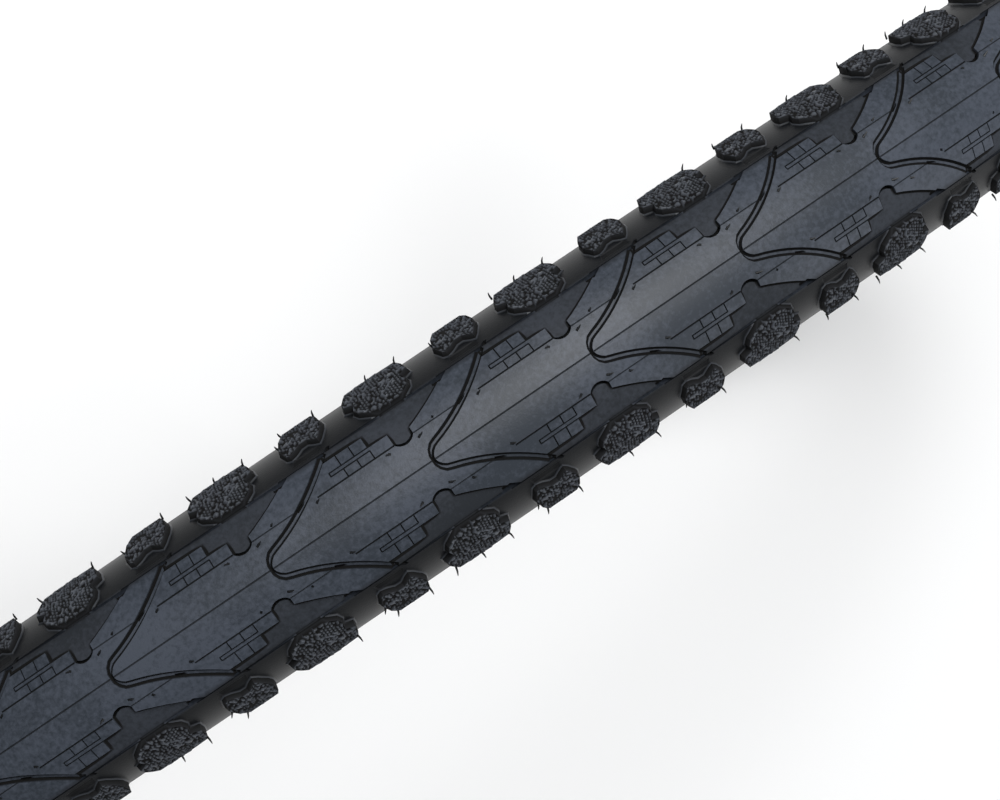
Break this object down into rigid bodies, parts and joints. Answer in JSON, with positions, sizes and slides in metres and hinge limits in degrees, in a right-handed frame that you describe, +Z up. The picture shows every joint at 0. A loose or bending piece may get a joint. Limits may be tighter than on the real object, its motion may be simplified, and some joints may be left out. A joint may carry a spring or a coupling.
{
  "type": "bicycle tyre",
  "caption": "Wired-on 40-622 (700 x 38C) hybrid bicycle tyre with chevron centre tread and shoulder knobs, with its inner tube and screw-capped valve.",
  "frame": {"origin": "centre of the wheel, on the axle line in the tyre's middle plane", "axes": "+Y along the axle, +Z up with the valve at the bottom, its stem pointing up at the axle"},
  "size_m": [0.7, 0.0412, 0.7],
  "materials": {
    "tread_rubber": "satin",
    "sidewall_rubber": "satin",
    "tube_rubber": "satin",
    "casing_cloth": "matte",
    "belt_cloth": "matte",
    "chafer_cloth": "matte",
    "bead_steel": "satin",
    "valve_brass": "satin",
    "nickel_plate": "satin",
    "spring_steel": "satin",
    "seal_rubber": "matte",
    "seal_plastic": "matte",
    "cap_plastic": "matte"
  },
  "bodies": {
    "tyre": {"tread": "tread_rubber", "puncture_belt": "belt_cloth", "casing_ply_outer": "casing_cloth", "casing_ply_inner": "casing_cloth", "bead_core_left": "bead_steel", "bead_core_right": "bead_steel", "chafer_left": "chafer_cloth", "chafer_right": "chafer_cloth", "sidewall_left": "sidewall_rubber", "sidewall_right": "sidewall_rubber", "inner_tube": "tube_rubber", "valve_patch": "tube_rubber", "valve_stem": "nickel_plate", "core_plug": "valve_brass", "core_barrel": "valve_brass", "core_seal_ring": "seal_plastic", "core_spring": "spring_steel"},
    "pin": {"core_pin": "valve_brass", "core_cup": "valve_brass", "core_seal": "seal_rubber"},
    "washer": {"rim_washer": "nickel_plate"},
    "nut": {"rim_nut": "nickel_plate"},
    "cap_insert": {"cap_seal": "seal_rubber"},
    "cap": {"cap_shell": "cap_plastic"}
  },
  "joints": [
    {"name": "pin_press", "type": "slide", "parent": "tyre", "child": "pin", "axis": [0, 0, -1], "range_m": [0, 0.0015], "stiffness_N_per_m": 400, "springref_m": -0.001, "deforming": ["core_spring"]},
    {"name": "nut_rise", "type": "slide", "parent": "tyre", "child": "washer", "axis": [0, 0, 1], "range_m": [-0.00476, 0.01429]},
    {"name": "nut_turn", "type": "hinge", "parent": "washer", "child": "nut", "pos_m": [0, 0, -0.3], "axis": [0, 0, 1], "range_deg": [-2160, 6480]},
    {"name": "cap_rise", "type": "slide", "parent": "tyre", "child": "cap_insert", "axis": [0, 0, 1], "range_m": [0, 0.00635]},
    {"name": "cap_turn", "type": "hinge", "parent": "cap_insert", "child": "cap", "pos_m": [0, 0, -0.28], "axis": [0, 0, 1], "range_deg": [0, 2880]}
  ],
  "couplings": [
    {"joint": "nut_turn", "follows": "nut_rise", "rad_per_m": 7913.3},
    {"joint": "cap_turn", "follows": "cap_rise", "rad_per_m": 7913.3}
  ]
}
